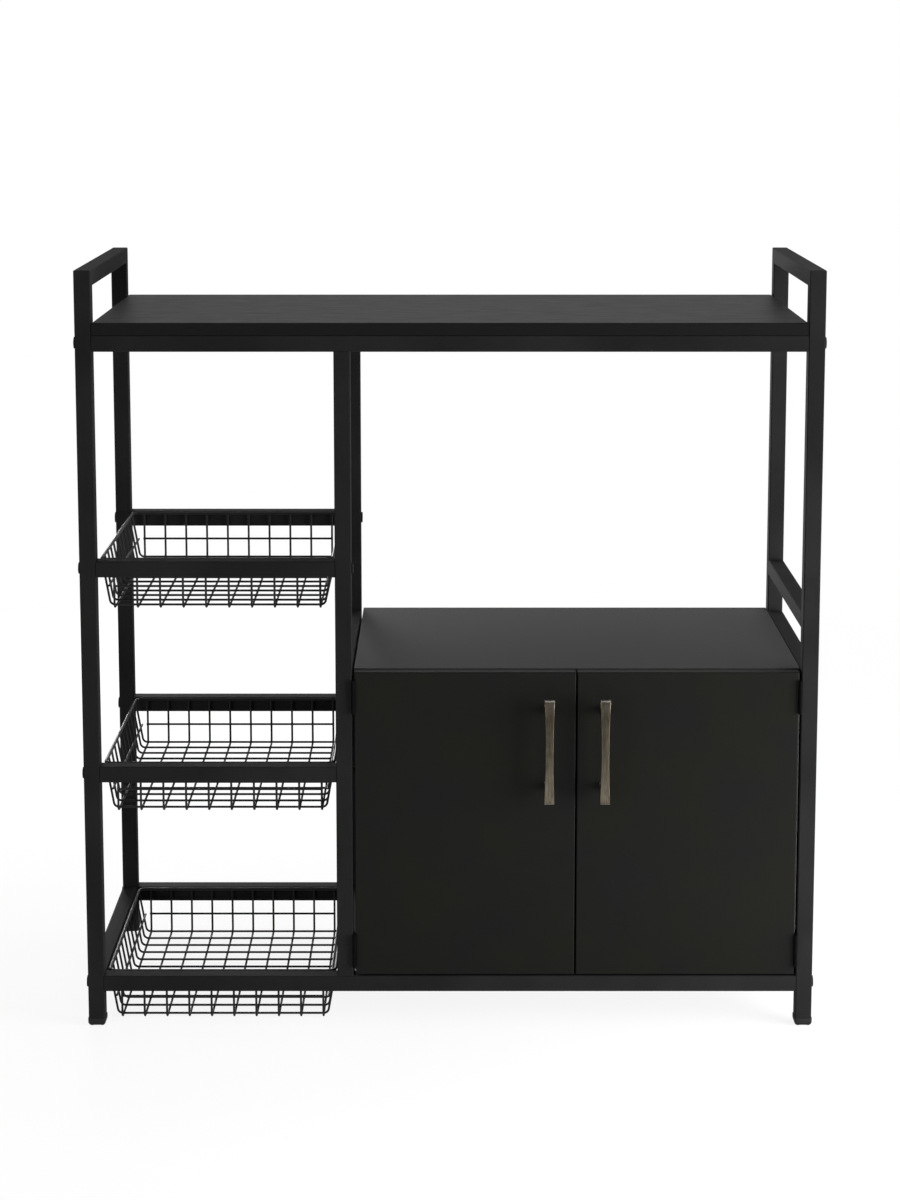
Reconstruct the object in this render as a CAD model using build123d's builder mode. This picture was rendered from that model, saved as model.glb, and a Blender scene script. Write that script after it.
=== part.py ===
"""Kitchen storage rack: a bolted steel tube frame with a top board, three lift-out wire baskets
on the left and a two-door cabinet on the right. Millimetres, +Z up, front towards -Y.
The origin is on the floor, in the middle of the width and of the depth from handles to rear feet."""

import os
from math import cos, hypot, pi, radians, sin, tan

from build123d import *

os.makedirs("parts", exist_ok=True)

# Frame, with the rise of the side loops above the top board
rack_width = 900.0
rack_depth = 350.0
rack_height = 944.0
loop_rise = 63.0
basket_bay_width = 290.0
tube_size = 20.0
tube_wall = 1.2
tube_corner = 1.0

# Heights of the undersides of the rails, and of the cabinet's top surface
upper_rail_z = 570.0
guard_rail_z = 503.0
middle_rail_z = 313.0
bottom_rail_z = 45.0
cabinet_top_z = 453.0

# Top board
board_thickness = 15.0
board_end_gap = 0.5
board_edge = 1.0

# Feet: a flange under the post and a spigot inside it
foot_height = 10.0
foot_overhang = 1.0
foot_corner = 2.0
spigot_height = 14.0
spigot_clearance = 0.2

# Frame bolts, with faceted shanks, and the nut plates in the rail ends
bolt_diameter = 6.0
bolt_head_diameter = 14.0
bolt_head_height = 2.0
bolt_tail = 2.0
bolt_clearance = 0.3
nut_plate_thickness = 6.0
nut_plate_clearance = 0.2
fastener_sides = 8
head_sides = 12

# Baskets
wire_diameter = 2.5
rim_diameter = 4.0
wire_sides = 6
basket_clearance = 1.5
basket_below_rail = 44.0
side_wall_lean = 10.0
wire_bend = 4.0
rim_corner = 5.0
mid_wire_height = 26.5
lengthwise_wires = 10
crosswise_wires = 12

# Tabs on the rails that the basket rims rest on
tab_width = 14.0
tab_thickness = 2.0
tab_reach = 4.4
tab_clearance = 0.2

# Cabinet
panel_thickness = 15.0
side_thickness = 12.0
back_thickness = 3.0
panel_fit = 0.5

# Doors
door_thickness = 15.0
door_edge_radius = 1.5
hinge_gap = 3.0
door_meeting_gap = 2.0
door_bottom_gap = 2.0
door_top_drop = 1.0
door_back_gap = 1.0

# Butt hinges, whose knuckles stand just ahead of the front plane
hinge_height = 42.0
hinge_inset = 10.0
hinge_knuckles = 3
barrel_diameter = 4.4
pin_diameter = 2.0
pin_clearance = 0.05
leaf_thickness = 1.2
leaf_depth = 13.0
knuckle_clearance = 0.3

# Bow handles
handle_length = 129.0
handle_reach = 27.0
handle_end_width = 12.6
handle_waist_width = 9.4
handle_thickness = 8.0
handle_bow = 1.5
handle_leg = 10.0
handle_screw_spacing = 96.0
handle_from_split = 34.0
handle_centre_z = 357.5

# Handle screws, driven from inside the doors
screw_diameter = 4.0
screw_head_diameter = 8.0
screw_head_height = 2.2
screw_bite = 9.0
screw_clearance = 0.2

# Double magnetic catch under the cabinet's top, and the strike plates on the doors
catch_width = 46.0
catch_depth = 14.0
catch_height = 15.0
strike_width = 16.0
strike_height = 13.0
strike_thickness = 0.9
catch_gap = 0.3

# One overrun for all cuts
overrun = 1.0

# Planes and levels worked out from the driving sizes
left_x = -rack_width / 2
right_x = rack_width / 2
middle_x = left_x + tube_size + basket_bay_width
front_y = (handle_reach - rack_depth - foot_overhang) / 2
rear_y = front_y + rack_depth
top_rail_z = rack_height - loop_rise - board_thickness - tube_size
half_tube = tube_size / 2
tube_bore = tube_size - 2 * tube_wall

left_post_x = left_x + half_tube
middle_post_x = middle_x + half_tube
right_post_x = right_x - half_tube
front_tube_y = front_y + half_tube
rear_tube_y = rear_y - half_tube
inner_front_y = front_y + tube_size
inner_depth = rack_depth - 2 * tube_size
row_y = {"front": front_tube_y, "rear": rear_tube_y}

cabinet_left_x = middle_x + tube_size
cabinet_right_x = right_x - tube_size
cabinet_floor_z = bottom_rail_z + tube_size
carcass_front_y = front_y + door_thickness + door_back_gap
split_x = (cabinet_left_x + cabinet_right_x) / 2
door_bottom_z = cabinet_floor_z + door_bottom_gap
door_top_z = cabinet_top_z - door_top_drop


def save(part, name):
    """Label a finished piece and write it under its own name."""
    part.label = name
    export_step(part, f"parts/{name}.step")


def square_tube(start, direction, length):
    """A hollow square tube with broken corners, from the middle of one end."""
    with BuildPart() as tube:
        with BuildSketch(Plane(origin=start, z_dir=direction)) as section:
            Rectangle(tube_size, tube_size)
            chamfer(section.vertices(), tube_corner)
            Rectangle(tube_bore, tube_bore, mode=Mode.SUBTRACT)
        extrude(amount=length)
    return tube.part


def block(low, high):
    """A plain board or plate between two corners."""
    with BuildPart() as board:
        with BuildSketch(Plane.XY.offset(low[2])):
            with Locations(((low[0] + high[0]) / 2, (low[1] + high[1]) / 2)):
                Rectangle(high[0] - low[0], high[1] - low[1])
        extrude(amount=high[2] - low[2])
    return board.part


def facet_bar(plane, diameter, length, sides=fastener_sides):
    """A straight bar with flat sides, for fasteners, their holes and the outsides of knuckles."""
    with BuildPart() as bar:
        with BuildSketch(plane):
            RegularPolygon(diameter / 2, sides, major_radius=False)
        extrude(amount=length)
    return bar.part


def round_bar(plane, diameter, length):
    """A straight round bar."""
    with BuildPart() as bar:
        with BuildSketch(plane):
            Circle(diameter / 2)
        extrude(amount=length)
    return bar.part


# Levels at which each post is bolted to a rail
rail_levels = {"top": top_rail_z, "upper": upper_rail_z, "middle": middle_rail_z, "bottom": bottom_rail_z}
bolt_levels = {
    "left": ("top", "upper", "middle", "bottom"),
    "middle": ("upper", "middle"),
    "right": ("top", "bottom"),
}
post_x = {"left": left_post_x, "middle": middle_post_x, "right": right_post_x}
# The side of each post, along X, on which the bolt heads sit
head_side = {"left": -1, "middle": 1, "right": 1}
post_span = {
    "left": (foot_height, rack_height),
    "middle": (bottom_rail_z + tube_size, top_rail_z),
    "right": (foot_height, rack_height),
}


def bolt_axis(side, row, level, stand_off):
    """A plane across a bolt, looking into the post from its head, at a distance outside the post."""
    head_x = post_x[side] + head_side[side] * (half_tube + stand_off)
    return Plane(
        origin=(head_x, row_y[row], rail_levels[level] + half_tube),
        x_dir=(0, 1, 0),
        z_dir=(-head_side[side], 0, 0),
    )


# Mitres where the side loops turn from the posts into the top bars
mitre = {
    "front": Plane(origin=(0, front_y, rack_height), z_dir=(0, 1, 1)),
    "rear": Plane(origin=(0, rear_y, rack_height), z_dir=(0, -1, 1)),
}

# Posts
for side in post_x:
    for row in row_y:
        low_z, high_z = post_span[side]
        with BuildPart() as post:
            add(square_tube((post_x[side], row_y[row], low_z), (0, 0, 1), high_z - low_z))
            for level in bolt_levels[side]:
                hole_plane = bolt_axis(side, row, level, overrun)
                hole_diameter = bolt_diameter + 2 * bolt_clearance
                add(facet_bar(hole_plane, hole_diameter, tube_size + 2 * overrun), mode=Mode.SUBTRACT)
            if high_z == rack_height:
                split(bisect_by=mitre[row], keep=Keep.BOTTOM)
        save(post.part, f"{side}_{row}_post")

# Top bars of the two side loops
for side in ("left", "right"):
    with BuildPart() as top_bar:
        add(square_tube((post_x[side], front_y, rack_height - half_tube), (0, 1, 0), rack_depth))
        split(bisect_by=mitre["front"], keep=Keep.TOP)
        split(bisect_by=mitre["rear"], keep=Keep.TOP)
    save(top_bar.part, f"{side}_top_bar")

# Rails that run front to back between a pair of posts or rails
cabinet_rail_z = cabinet_top_z - tube_size
side_rails = {
    "left_bottom_side_rail": (left_post_x, bottom_rail_z),
    "right_bottom_side_rail": (right_post_x, bottom_rail_z),
    "middle_bottom_cross_rail": (middle_post_x, bottom_rail_z),
    "right_cabinet_rail": (right_post_x, cabinet_rail_z),
    "middle_cabinet_rail": (middle_post_x, cabinet_rail_z),
    "right_guard_rail": (right_post_x, guard_rail_z),
}
for name, (rail_x, low_z) in side_rails.items():
    with BuildPart() as side_rail:
        add(square_tube((rail_x, inner_front_y, low_z + half_tube), (0, 1, 0), inner_depth))
    save(side_rail.part, name)

# Basket sizes, from the rail's top face as zero height. The side walls lean, the front and rear walls
# are upright. Wires have flat sides, so that wires that cross or butt meet face to face.
lean = radians(side_wall_lean)
corner_share = 1 / cos(pi / wire_sides)
bay_centre_x = left_x + tube_size + basket_bay_width / 2
bay_centre_y = (front_y + rear_y) / 2
rim_half_x = basket_bay_width / 2 - basket_clearance - rim_diameter / 2 * corner_share
rim_half_y = inner_depth / 2 - basket_clearance - rim_diameter / 2 * corner_share
lengthwise_floor_z = -tube_size - basket_below_rail + wire_diameter / 2
crosswise_floor_z = lengthwise_floor_z + wire_diameter
mid_wire_z = lengthwise_floor_z + mid_wire_height


def side_wall_x(level_z):
    """Half the distance between the leaning side walls at a level under the rim."""
    return rim_half_x - (-rim_diameter - level_z) * tan(lean)


lengthwise_reach = side_wall_x(crosswise_floor_z) - wire_bend - wire_diameter
crosswise_reach = rim_half_y - wire_bend - wire_diameter
tab_pitch = 2 * lengthwise_reach / (lengthwise_wires - 1)
tab_offset = lengthwise_reach - tab_pitch / 2


def u_wire(plane, rim_half, floor_half, floor_z):
    """A wire from under the rim down one wall, across the floor and up the other wall to the rim.
    The plane's X runs across the basket and its Y runs upwards."""
    wall_out = rim_half - floor_half
    wall_rise = -rim_diameter - floor_z
    bend_share = wire_bend / hypot(wall_out, wall_rise)
    top_share = 1 + overrun / wall_rise
    floor_end = (floor_half - wire_bend, floor_z)
    wall_foot = (floor_half + bend_share * wall_out, floor_z + bend_share * wall_rise)
    wall_top = (floor_half + top_share * wall_out, floor_z + top_share * wall_rise)
    right_side = [floor_end, wall_foot, wall_top]
    left_side = [(-across, up) for across, up in reversed(right_side)]
    with BuildPart() as wire:
        with BuildLine(plane) as path:
            Polyline(*left_side, *right_side)
        with BuildSketch(Plane(path.line @ 0, x_dir=plane.z_dir, z_dir=path.line % 0)):
            RegularPolygon(wire_diameter / 2, wire_sides, major_radius=False)
        sweep(path=path.line, transition=Transition.RIGHT)
        split(bisect_by=Plane.XY.offset(-rim_diameter), keep=Keep.BOTTOM)
    return wire.part


def mid_wire(middle, along, wall_up, reach):
    """A straight wire across the uprights of a wall, on its inside, from the first to the last."""
    length = 2 * reach + wire_diameter
    with BuildPart() as wire:
        with BuildSketch(Plane(middle, x_dir=wall_up, z_dir=along)):
            RegularPolygon(wire_diameter / 2, wire_sides, major_radius=False)
        extrude(amount=length / 2, both=True)
    return wire.part


# The rim, a closed wire with its corners cut, from the middle of its front
rim_start = (0, -rim_half_y)
corners = [(rim_half_x - rim_corner, -rim_half_y), (rim_half_x, rim_corner - rim_half_y)]
right_corners = corners + [(across, -along) for across, along in reversed(corners)]
left_corners = [(-across, along) for across, along in reversed(right_corners)]
with BuildPart() as rim:
    with BuildLine(Plane.XY.offset(-rim_diameter / 2)) as rim_path:
        Polyline(rim_start, *right_corners, *left_corners, close=True)
    with BuildSketch(Plane((*rim_start, -rim_diameter / 2), x_dir=(0, 0, 1), z_dir=(1, 0, 0))):
        RegularPolygon(rim_diameter / 2, wire_sides, major_radius=False, rotation=180 / wire_sides)
    sweep(path=rim_path.line, transition=Transition.RIGHT)

# One basket
basket_wires = [rim.part]
lengthwise_wire = u_wire(Plane.YZ, rim_half_y, rim_half_y, lengthwise_floor_z)
for index in range(lengthwise_wires):
    wire_x = lengthwise_reach * (2 * index / (lengthwise_wires - 1) - 1)
    basket_wires.append(lengthwise_wire.moved(Location((wire_x, 0, 0))))
crosswise_wire = u_wire(Plane.XZ, rim_half_x, side_wall_x(crosswise_floor_z), crosswise_floor_z)
for index in range(crosswise_wires):
    wire_y = crosswise_reach * (2 * index / (crosswise_wires - 1) - 1)
    basket_wires.append(crosswise_wire.moved(Location((0, wire_y, 0))))
for side in (-1, 1):
    front_middle = (0, side * (rim_half_y - wire_diameter), mid_wire_z)
    basket_wires.append(mid_wire(front_middle, (1, 0, 0), (0, 0, 1), lengthwise_reach))
    side_middle = (side * (side_wall_x(mid_wire_z) - wire_diameter / cos(lean)), 0, mid_wire_z)
    basket_wires.append(mid_wire(side_middle, (0, 1, 0), (side * sin(lean), 0, cos(lean)), crosswise_reach))

for tier in ("upper", "middle", "bottom"):
    rim_level = rail_levels[tier] + tube_size
    place = Location((bay_centre_x, bay_centre_y, rim_level))
    basket = Compound(children=[wire.moved(place) for wire in basket_wires])
    save(basket, f"{tier}_basket")

# Rails that run left to right, with the tabs that carry the basket rims
full_span = (left_x + tube_size, right_x - tube_size)
bay_span = (left_x + tube_size, middle_x)
rail_span = {"top": full_span, "upper": bay_span, "middle": bay_span, "bottom": full_span}
tab_top_drop = rim_diameter + tab_clearance
tab_direction = {"front": 1, "rear": -1}
for level, (start_x, end_x) in rail_span.items():
    for row in row_y:
        with BuildPart() as rail:
            rail_start = (start_x, row_y[row], rail_levels[level] + half_tube)
            add(square_tube(rail_start, (1, 0, 0), end_x - start_x))
            if level != "top":
                tab_y = row_y[row] + tab_direction[row] * (half_tube + tab_reach / 2)
                tab_z = rail_levels[level] + tube_size - tab_top_drop - tab_thickness
                with BuildSketch(Plane.XY.offset(tab_z)):
                    with Locations((bay_centre_x - tab_offset, tab_y), (bay_centre_x + tab_offset, tab_y)):
                        Rectangle(tab_width, tab_reach)
                extrude(amount=tab_thickness)
        save(rail.part, f"{level}_{row}_rail")

# Bolts through the posts, and the nut plates that they turn into
bolts = []
nut_plates = []
for side, levels in bolt_levels.items():
    for row in row_y:
        for level in levels:
            with BuildPart() as bolt:
                head_plane = bolt_axis(side, row, level, bolt_head_height)
                add(facet_bar(head_plane, bolt_head_diameter, bolt_head_height, head_sides))
                shank = tube_size + nut_plate_thickness + bolt_tail
                add(facet_bar(bolt_axis(side, row, level, 0), bolt_diameter, shank))
            bolts.append(bolt.part)
            with BuildPart() as nut_plate:
                with BuildSketch(bolt_axis(side, row, level, -tube_size)):
                    plate_size = tube_bore - 2 * nut_plate_clearance
                    Rectangle(plate_size, plate_size)
                    thread = bolt_diameter / 2 + bolt_clearance
                    RegularPolygon(thread, fastener_sides, major_radius=False, mode=Mode.SUBTRACT)
                extrude(amount=nut_plate_thickness)
            nut_plates.append(nut_plate.part)
save(Compound(children=bolts), "frame_bolts")
save(Compound(children=nut_plates), "nut_plates")

# Feet
feet = []
for side in ("left", "right"):
    for row in row_y:
        with BuildPart() as foot:
            with BuildSketch() as pad:
                with Locations((post_x[side], row_y[row])):
                    Rectangle(tube_size + 2 * foot_overhang, tube_size + 2 * foot_overhang)
                chamfer(pad.vertices(), foot_corner)
            extrude(amount=foot_height)
            chamfer(foot.faces().sort_by(Axis.Z)[0].edges(), foot_corner)
            with BuildSketch(Plane.XY.offset(foot_height)):
                with Locations((post_x[side], row_y[row])):
                    spigot = tube_bore - 2 * spigot_clearance
                    Rectangle(spigot, spigot)
            extrude(amount=spigot_height)
        feet.append(foot.part)
save(Compound(children=feet), "feet")

# Top board, lying on the top rails between the side loops
with BuildPart() as top_board:
    board_low = (left_x + tube_size + board_end_gap, front_y, top_rail_z + tube_size)
    board_high = (right_x - tube_size - board_end_gap, rear_y, top_rail_z + tube_size + board_thickness)
    add(block(board_low, board_high))
    chamfer(top_board.faces().sort_by(Axis.Z)[-1].edges(), board_edge)
save(top_board.part, "top_board")

# Cabinet carcass. The left side leaves room for the bolt heads on the middle posts.
carcass_left_x = cabinet_left_x + bolt_head_height + panel_fit
carcass_right_x = cabinet_right_x - panel_fit
carcass_back_y = rear_y - back_thickness
under_top_z = cabinet_top_z - panel_thickness
above_floor_z = cabinet_floor_z + panel_thickness
panels = {
    "cabinet_top": (
        (carcass_left_x, carcass_front_y, under_top_z),
        (carcass_right_x, rear_y, cabinet_top_z),
    ),
    "cabinet_floor": (
        (carcass_left_x, carcass_front_y, cabinet_floor_z),
        (carcass_right_x, rear_y, above_floor_z),
    ),
    "cabinet_left_panel": (
        (carcass_left_x, carcass_front_y, above_floor_z),
        (carcass_left_x + side_thickness, carcass_back_y, under_top_z),
    ),
    "cabinet_right_panel": (
        (carcass_right_x - side_thickness, carcass_front_y, above_floor_z),
        (carcass_right_x, carcass_back_y, under_top_z),
    ),
    "cabinet_back_panel": (
        (carcass_left_x, carcass_back_y, above_floor_z),
        (carcass_right_x, rear_y, under_top_z),
    ),
}
for name, (low, high) in panels.items():
    with BuildPart() as panel:
        add(block(low, high))
    save(panel.part, name)

# Double magnetic catch, hung under the cabinet's top behind the doors' meeting edges
with BuildPart() as door_catch:
    catch_low = (split_x - catch_width / 2, carcass_front_y + catch_gap, under_top_z - catch_height)
    catch_high = (split_x + catch_width / 2, carcass_front_y + catch_gap + catch_depth, under_top_z)
    add(block(catch_low, catch_high))
save(door_catch.part, "door_catch")

# Doors with their handles, hinges and strike plates. Each opens away from the meeting edges.
hinge_bottoms = (door_bottom_z + hinge_inset, door_top_z - hinge_inset - hinge_height)
axis_y = front_y - barrel_diameter / 2 - knuckle_clearance
knuckle_pitch = hinge_height / hinge_knuckles
knuckle_length = knuckle_pitch - knuckle_clearance
hinge_x = {"left": cabinet_left_x + hinge_gap / 2, "right": cabinet_right_x - hinge_gap / 2}
inward = {"left": 1, "right": -1}
screw_heights = (handle_centre_z - handle_screw_spacing / 2, handle_centre_z + handle_screw_spacing / 2)


def hinge_leaf(axis_x, towards, low_z, knuckles):
    """One leaf of a butt hinge: a plate in the gap, and its share of the knuckles."""
    outer_x = axis_x + towards * hinge_gap / 2
    inner_x = outer_x - towards * leaf_thickness
    plate_x = sorted((outer_x, inner_x))
    plate_y = axis_y + barrel_diameter / 2 + knuckle_clearance
    with BuildPart() as leaf:
        add(block((plate_x[0], plate_y, low_z), (plate_x[1], axis_y + leaf_depth, low_z + hinge_height)))
        for knuckle in knuckles:
            knuckle_z = low_z + knuckle * knuckle_pitch + knuckle_clearance / 2
            knuckle_top_z = knuckle_z + knuckle_length
            barrel_plane = Plane(origin=(axis_x, axis_y, knuckle_z))
            add(block((plate_x[0], axis_y, knuckle_z), (plate_x[1], plate_y, knuckle_top_z)))
            add(facet_bar(barrel_plane, barrel_diameter, knuckle_length, head_sides))
            bore = pin_diameter + 2 * pin_clearance
            add(round_bar(barrel_plane, bore, knuckle_length), mode=Mode.SUBTRACT)
    return leaf.part


for side in hinge_x:
    axis_x = hinge_x[side]
    towards = inward[side]
    handle_x = split_x - towards * handle_from_split
    handle_front = Plane(origin=(handle_x, front_y, handle_centre_z), x_dir=(1, 0, 0), z_dir=(0, -1, 0))
    screw_places = [(0, screw_z - handle_centre_z) for screw_z in screw_heights]

    with BuildPart() as door:
        door_ends = sorted((axis_x + towards * hinge_gap / 2, split_x - towards * door_meeting_gap / 2))
        door_low = (door_ends[0], front_y, door_bottom_z)
        door_high = (door_ends[1], front_y + door_thickness, door_top_z)
        add(block(door_low, door_high))
        fillet(door.faces().sort_by(Axis.Y)[0].edges(), door_edge_radius)
        with BuildSketch(handle_front.offset(overrun)):
            with Locations(*screw_places):
                hole_radius = screw_diameter / 2 + screw_clearance
                RegularPolygon(hole_radius, fastener_sides, major_radius=False)
        extrude(amount=-(door_thickness + 2 * overrun), mode=Mode.SUBTRACT)
    save(door.part, f"{side}_door")

    # The handle is its hourglass front outline cut to its bowed side outline.
    with BuildPart() as handle:
        half_length = handle_length / 2
        half_end = handle_end_width / 2
        half_waist = handle_waist_width / 2
        with BuildSketch(handle_front):
            with BuildLine():
                ThreePointArc((half_end, -half_length), (half_waist, 0), (half_end, half_length))
                Line((half_end, half_length), (-half_end, half_length))
                ThreePointArc((-half_end, half_length), (-half_waist, 0), (-half_end, -half_length))
                Line((-half_end, -half_length), (half_end, -half_length))
            make_face()
        extrude(amount=handle_reach)
        side_plane = Plane(
            origin=(handle_x - handle_end_width, front_y, handle_centre_z), x_dir=(0, -1, 0), z_dir=(-1, 0, 0)
        )
        end_reach = handle_reach - handle_bow
        back_reach = handle_reach - handle_thickness
        end_back = end_reach - handle_thickness
        with BuildSketch(side_plane):
            with BuildLine():
                ThreePointArc((end_reach, -half_length), (handle_reach, 0), (end_reach, half_length))
                Line((end_reach, half_length), (end_back, half_length))
                ThreePointArc((end_back, half_length), (back_reach, 0), (end_back, -half_length))
                Line((end_back, -half_length), (end_reach, -half_length))
            make_face()
            with Locations(*[(back_reach / 2, leg_z) for _, leg_z in screw_places]):
                Rectangle(back_reach, handle_leg)
        extrude(amount=-2 * handle_end_width, mode=Mode.INTERSECT)
        with BuildSketch(handle_front):
            with Locations(*screw_places):
                thread_radius = screw_diameter / 2 + screw_clearance
                RegularPolygon(thread_radius, fastener_sides, major_radius=False)
        extrude(amount=screw_bite + overrun, mode=Mode.SUBTRACT)
    save(handle.part, f"{side}_handle")

    screws = []
    for screw_z in screw_heights:
        door_back = Plane(origin=(handle_x, front_y + door_thickness, screw_z), z_dir=(0, -1, 0))
        with BuildPart() as screw:
            add(facet_bar(door_back, screw_diameter, door_thickness + screw_bite))
            add(facet_bar(door_back.offset(-screw_head_height), screw_head_diameter, screw_head_height))
        screws.append(screw.part)
    save(Compound(children=screws), f"{side}_handle_screws")

    with BuildPart() as strike_plate:
        strike_x = split_x - towards * (door_meeting_gap + strike_width) / 2
        strike_back_y = front_y + door_thickness
        strike_top_z = under_top_z - (catch_height - strike_height) / 2
        strike_low = (strike_x - strike_width / 2, strike_back_y, strike_top_z - strike_height)
        strike_high = (strike_x + strike_width / 2, strike_back_y + strike_thickness, strike_top_z)
        add(block(strike_low, strike_high))
    save(strike_plate.part, f"{side}_strike_plate")

    frame_knuckles = range(0, hinge_knuckles, 2)
    door_knuckles = range(1, hinge_knuckles, 2)
    frame_leaves = [hinge_leaf(axis_x, -towards, low_z, frame_knuckles) for low_z in hinge_bottoms]
    door_leaves = [hinge_leaf(axis_x, towards, low_z, door_knuckles) for low_z in hinge_bottoms]
    pins = [
        round_bar(Plane(origin=(axis_x, axis_y, low_z)), pin_diameter, hinge_height)
        for low_z in hinge_bottoms
    ]
    save(Compound(children=frame_leaves), f"{side}_hinge_frame_leaves")
    save(Compound(children=door_leaves), f"{side}_hinge_door_leaves")
    save(Compound(children=pins), f"{side}_hinge_pins")
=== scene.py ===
# %% [markdown]
# # A kitchen storage rack, dressed for its picture
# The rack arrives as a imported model: posts, rails, boards, doors, hinges and baskets, each at its real size
# in metres. This lesson leaves those pieces where they are, gives every surface a finish made of nodes, and
# models again, by hand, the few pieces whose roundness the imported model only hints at: the wire baskets,
# the handles, the bolts and the feet.

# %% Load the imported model
from math import cos, pi, radians, sin, tan

import bmesh
import bpy
from mathutils import Matrix, Vector


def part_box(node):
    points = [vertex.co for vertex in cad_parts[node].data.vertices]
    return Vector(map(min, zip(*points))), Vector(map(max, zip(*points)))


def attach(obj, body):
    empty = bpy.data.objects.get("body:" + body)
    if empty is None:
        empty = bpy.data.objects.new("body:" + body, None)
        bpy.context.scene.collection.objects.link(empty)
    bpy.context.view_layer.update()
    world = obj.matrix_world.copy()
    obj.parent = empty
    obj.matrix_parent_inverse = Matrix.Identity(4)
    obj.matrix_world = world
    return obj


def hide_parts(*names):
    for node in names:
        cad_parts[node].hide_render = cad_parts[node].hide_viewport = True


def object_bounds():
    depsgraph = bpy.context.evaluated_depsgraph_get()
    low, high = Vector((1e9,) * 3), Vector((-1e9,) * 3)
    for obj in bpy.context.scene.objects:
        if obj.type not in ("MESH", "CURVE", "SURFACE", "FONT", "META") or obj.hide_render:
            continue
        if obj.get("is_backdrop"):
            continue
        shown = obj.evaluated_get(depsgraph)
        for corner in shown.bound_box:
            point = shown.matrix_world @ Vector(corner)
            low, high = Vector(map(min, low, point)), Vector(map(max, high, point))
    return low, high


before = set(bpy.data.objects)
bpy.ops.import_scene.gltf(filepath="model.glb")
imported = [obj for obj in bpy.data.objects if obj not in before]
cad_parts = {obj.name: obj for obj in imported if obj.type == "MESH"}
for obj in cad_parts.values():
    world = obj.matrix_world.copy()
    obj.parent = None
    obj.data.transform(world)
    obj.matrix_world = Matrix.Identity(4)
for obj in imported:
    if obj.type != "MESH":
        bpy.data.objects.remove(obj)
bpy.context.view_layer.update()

# %% [markdown]
# ## The camera
# The photograph looks straight at the front from a little above, and its upright posts stay almost
# parallel. A camera that tilts down makes them lean, so part of the tilt is taken by the lens shift, as
# with a view camera. Only part of it: a larger shift would push the rack out of the picture when the camera
# walks round it.

# %% Place the camera
camera_place = (0, -3.0856, 1.201)
camera_tilt = radians(7.95)
camera_lens = 73.7
camera_shift = -0.17
quarter_turn = pi / 2

bpy.ops.object.select_all(action="DESELECT")
bpy.ops.object.camera_add(location=camera_place, rotation=(quarter_turn - camera_tilt, 0, 0))
camera = bpy.context.object
camera.data.lens = camera_lens
camera.data.shift_y = camera_shift
bpy.context.scene.camera = camera
bpy.context.scene.view_settings.view_transform = "Standard"
print("The camera stands", -camera_place[1], "m in front of the rack's origin")

# %% [markdown]
# ## Nodes, in short
# Every finish below is a small tree of nodes. Writing the same three lines for each node hides what the
# tree says, so one helper adds a node with its settings. It sets an input by its name, or by its place in
# the list where a node has several inputs of one name, and joins it where the value is another node's
# output. A second helper tells the rays that look at a surface from those that only carry scattered light,
# which the background and the floor both need.

# %% Helpers for node trees
def add_node(tree, kind, inputs=None, **settings):
    """Add one node to a tree, with its settings and the values of its inputs."""
    node = tree.nodes.new("ShaderNode" + kind)
    for name, value in settings.items():
        setattr(node, name, value)
    for socket, value in (inputs or {}).items():
        if isinstance(value, bpy.types.NodeSocket):
            tree.links.new(value, node.inputs[socket])
        else:
            node.inputs[socket].default_value = value
    return node


def seen_directly(tree):
    """One for rays from the camera, from a mirror or through glass, and zero for scattered light."""
    rays = add_node(tree, "LightPath").outputs
    seen_or_mirrored = {0: rays["Is Camera Ray"], 1: rays["Is Glossy Ray"]}
    mirrored = add_node(tree, "Math", seen_or_mirrored, operation="MAXIMUM")
    with_glass = {0: mirrored.outputs[0], 1: rays["Is Transmission Ray"]}
    through = add_node(tree, "Math", with_glass, operation="MAXIMUM")
    return through.outputs[0]


# %% [markdown]
# ## A white room
# The photograph's background is plain white. If the world were that bright for all light, it would wash out
# the black paint, so the world is white only where it is seen, directly or as a reflection. The light that
# it scatters on the rack is set apart from that, and lower.

# %% Make the world
white = (1.0, 1.0, 1.0, 1.0)
background_strength = 1.0
ambient_strength = 0.25

world = bpy.data.worlds.new("white_room")
bpy.context.scene.world = world
world.use_nodes = True
room = world.node_tree
room.nodes.clear()
seen = add_node(room, "Background", {"Color": white, "Strength": background_strength})
ambient = add_node(room, "Background", {"Color": white, "Strength": ambient_strength})
room_mix = add_node(room, "MixShader", {0: seen_directly(room), 1: ambient.outputs[0], 2: seen.outputs[0]})
add_node(room, "OutputWorld", {"Surface": room_mix.outputs[0]})
print("The world is white at", background_strength, "and lights the rack at", ambient_strength)

# %% [markdown]
# ## The floor
# The rack stands on a pale floor that runs into the white background with no edge. Near the feet the floor
# is mostly a real surface that catches the shadow. Further out, more and more of it simply shows white,
# until the two can't be told apart. The distance comes from the floor's own Object coordinates, so the fade
# stays put when the camera moves.

# %% Lay the floor
floor_radius = 12.0
floor_sides = 96
floor_colour = (0.86, 0.86, 0.86, 1.0)
white_near_share = 0.88
fade_start = 0.7
fade_end = 2.6

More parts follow.
